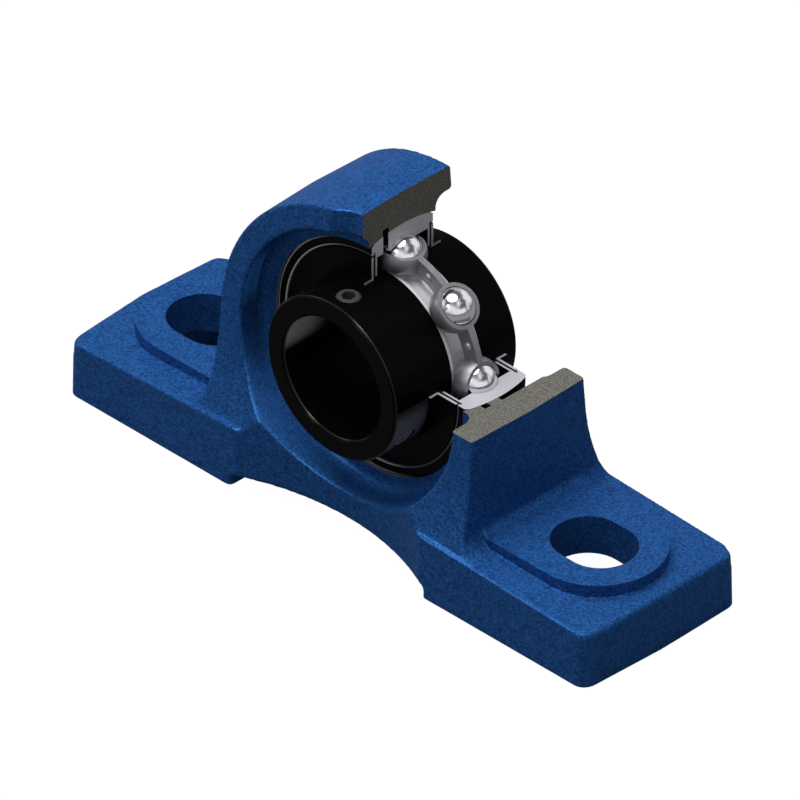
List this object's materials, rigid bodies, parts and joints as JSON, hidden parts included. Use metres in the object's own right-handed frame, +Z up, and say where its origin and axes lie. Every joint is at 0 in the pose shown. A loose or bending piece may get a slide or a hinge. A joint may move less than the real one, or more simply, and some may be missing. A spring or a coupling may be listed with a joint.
{
  "type": "pillow block bearing",
  "caption": "Self-aligning pillow block bearing on a slotted base, with a quarter cut away over its balls, cage and seals; set screws clamp a round shaft.",
  "frame": {"origin": "on the floor, under the middle of the bearing", "axes": "+X along the base, +Y along the shaft away from the set screws, +Z up"},
  "size_m": [0.1616, 0.0474, 0.0826],
  "materials": {
    "housing_paint": "satin paint over cast skin",
    "ring_steel": "ground",
    "black_oxide": "glossy black oxide",
    "ball_chrome": "polished",
    "cage_steel": "satin",
    "rivet_steel": "satin",
    "seal_steel": "satin",
    "seal_rubber": "matte",
    "slinger_black": "satin black",
    "screw_steel": "satin black"
  },
  "bodies": {
    "housing": {"housing": "housing_paint"},
    "insert": {"outer_ring": "ring_steel", "seal_plate_front": "seal_steel", "seal_plate_back": "seal_steel", "seal_lip_front": "seal_rubber", "seal_lip_back": "seal_rubber"},
    "sleeve": {"inner_ring": "black_oxide", "slinger_front": "slinger_black", "slinger_back": "slinger_black", "set_screw_top": "screw_steel", "set_screw_side": "screw_steel"},
    "cage": {"cage_front": "cage_steel", "cage_back": "cage_steel", "cage_rivet_1": "rivet_steel", "cage_rivet_2": "rivet_steel", "cage_rivet_3": "rivet_steel", "cage_rivet_4": "rivet_steel", "cage_rivet_5": "rivet_steel", "cage_rivet_6": "rivet_steel", "cage_rivet_7": "rivet_steel", "cage_rivet_8": "rivet_steel"},
    "ball_1": {"ball_1": "ball_chrome"},
    "ball_2": {"ball_2": "ball_chrome"},
    "ball_3": {"ball_3": "ball_chrome"},
    "ball_4": {"ball_4": "ball_chrome"},
    "ball_5": {"ball_5": "ball_chrome"},
    "ball_6": {"ball_6": "ball_chrome"},
    "ball_7": {"ball_7": "ball_chrome"},
    "ball_8": {"ball_8": "ball_chrome"}
  },
  "joints": [
    {"name": "self_align", "type": "hinge", "parent": "housing", "child": "insert", "pos_m": [0, 0, 0.0429], "axis": [1, 0, 0], "range_deg": [-2, 2]},
    {"name": "shaft_spin", "type": "hinge", "parent": "insert", "child": "sleeve", "pos_m": [0, 0, 0.0429], "axis": [0, 1, 0], "continuous": true},
    {"name": "cage_spin", "type": "hinge", "parent": "insert", "child": "cage", "pos_m": [0, 0, 0.0429], "axis": [0, 1, 0], "continuous": true},
    {"name": "ball_1_spin", "type": "hinge", "parent": "cage", "child": "ball_1", "pos_m": [0.023, 0, 0.0429], "axis": [0, 1, 0], "continuous": true},
    {"name": "ball_2_spin", "type": "hinge", "parent": "cage", "child": "ball_2", "pos_m": [0.01626, 0, 0.02664], "axis": [0, 1, 0], "continuous": true},
    {"name": "ball_3_spin", "type": "hinge", "parent": "cage", "child": "ball_3", "pos_m": [0, 0, 0.0199], "axis": [0, 1, 0], "continuous": true},
    {"name": "ball_4_spin", "type": "hinge", "parent": "cage", "child": "ball_4", "pos_m": [-0.01626, 0, 0.02664], "axis": [0, 1, 0], "continuous": true},
    {"name": "ball_5_spin", "type": "hinge", "parent": "cage", "child": "ball_5", "pos_m": [-0.023, 0, 0.0429], "axis": [0, 1, 0], "continuous": true},
    {"name": "ball_6_spin", "type": "hinge", "parent": "cage", "child": "ball_6", "pos_m": [-0.01626, 0, 0.05916], "axis": [0, 1, 0], "continuous": true},
    {"name": "ball_7_spin", "type": "hinge", "parent": "cage", "child": "ball_7", "pos_m": [0, 0, 0.0659], "axis": [0, 1, 0], "continuous": true},
    {"name": "ball_8_spin", "type": "hinge", "parent": "cage", "child": "ball_8", "pos_m": [0.01626, 0, 0.05916], "axis": [0, 1, 0], "continuous": true}
  ],
  "couplings": [
    {"joint": "cage_spin", "follows": "shaft_spin", "ratio": 0.39647},
    {"joint": "ball_1_spin", "follows": "shaft_spin", "ratio": -2.3112},
    {"joint": "ball_2_spin", "follows": "shaft_spin", "ratio": -2.3112},
    {"joint": "ball_3_spin", "follows": "shaft_spin", "ratio": -2.3112},
    {"joint": "ball_4_spin", "follows": "shaft_spin", "ratio": -2.3112},
    {"joint": "ball_5_spin", "follows": "shaft_spin", "ratio": -2.3112},
    {"joint": "ball_6_spin", "follows": "shaft_spin", "ratio": -2.3112},
    {"joint": "ball_7_spin", "follows": "shaft_spin", "ratio": -2.3112},
    {"joint": "ball_8_spin", "follows": "shaft_spin", "ratio": -2.3112}
  ]
}
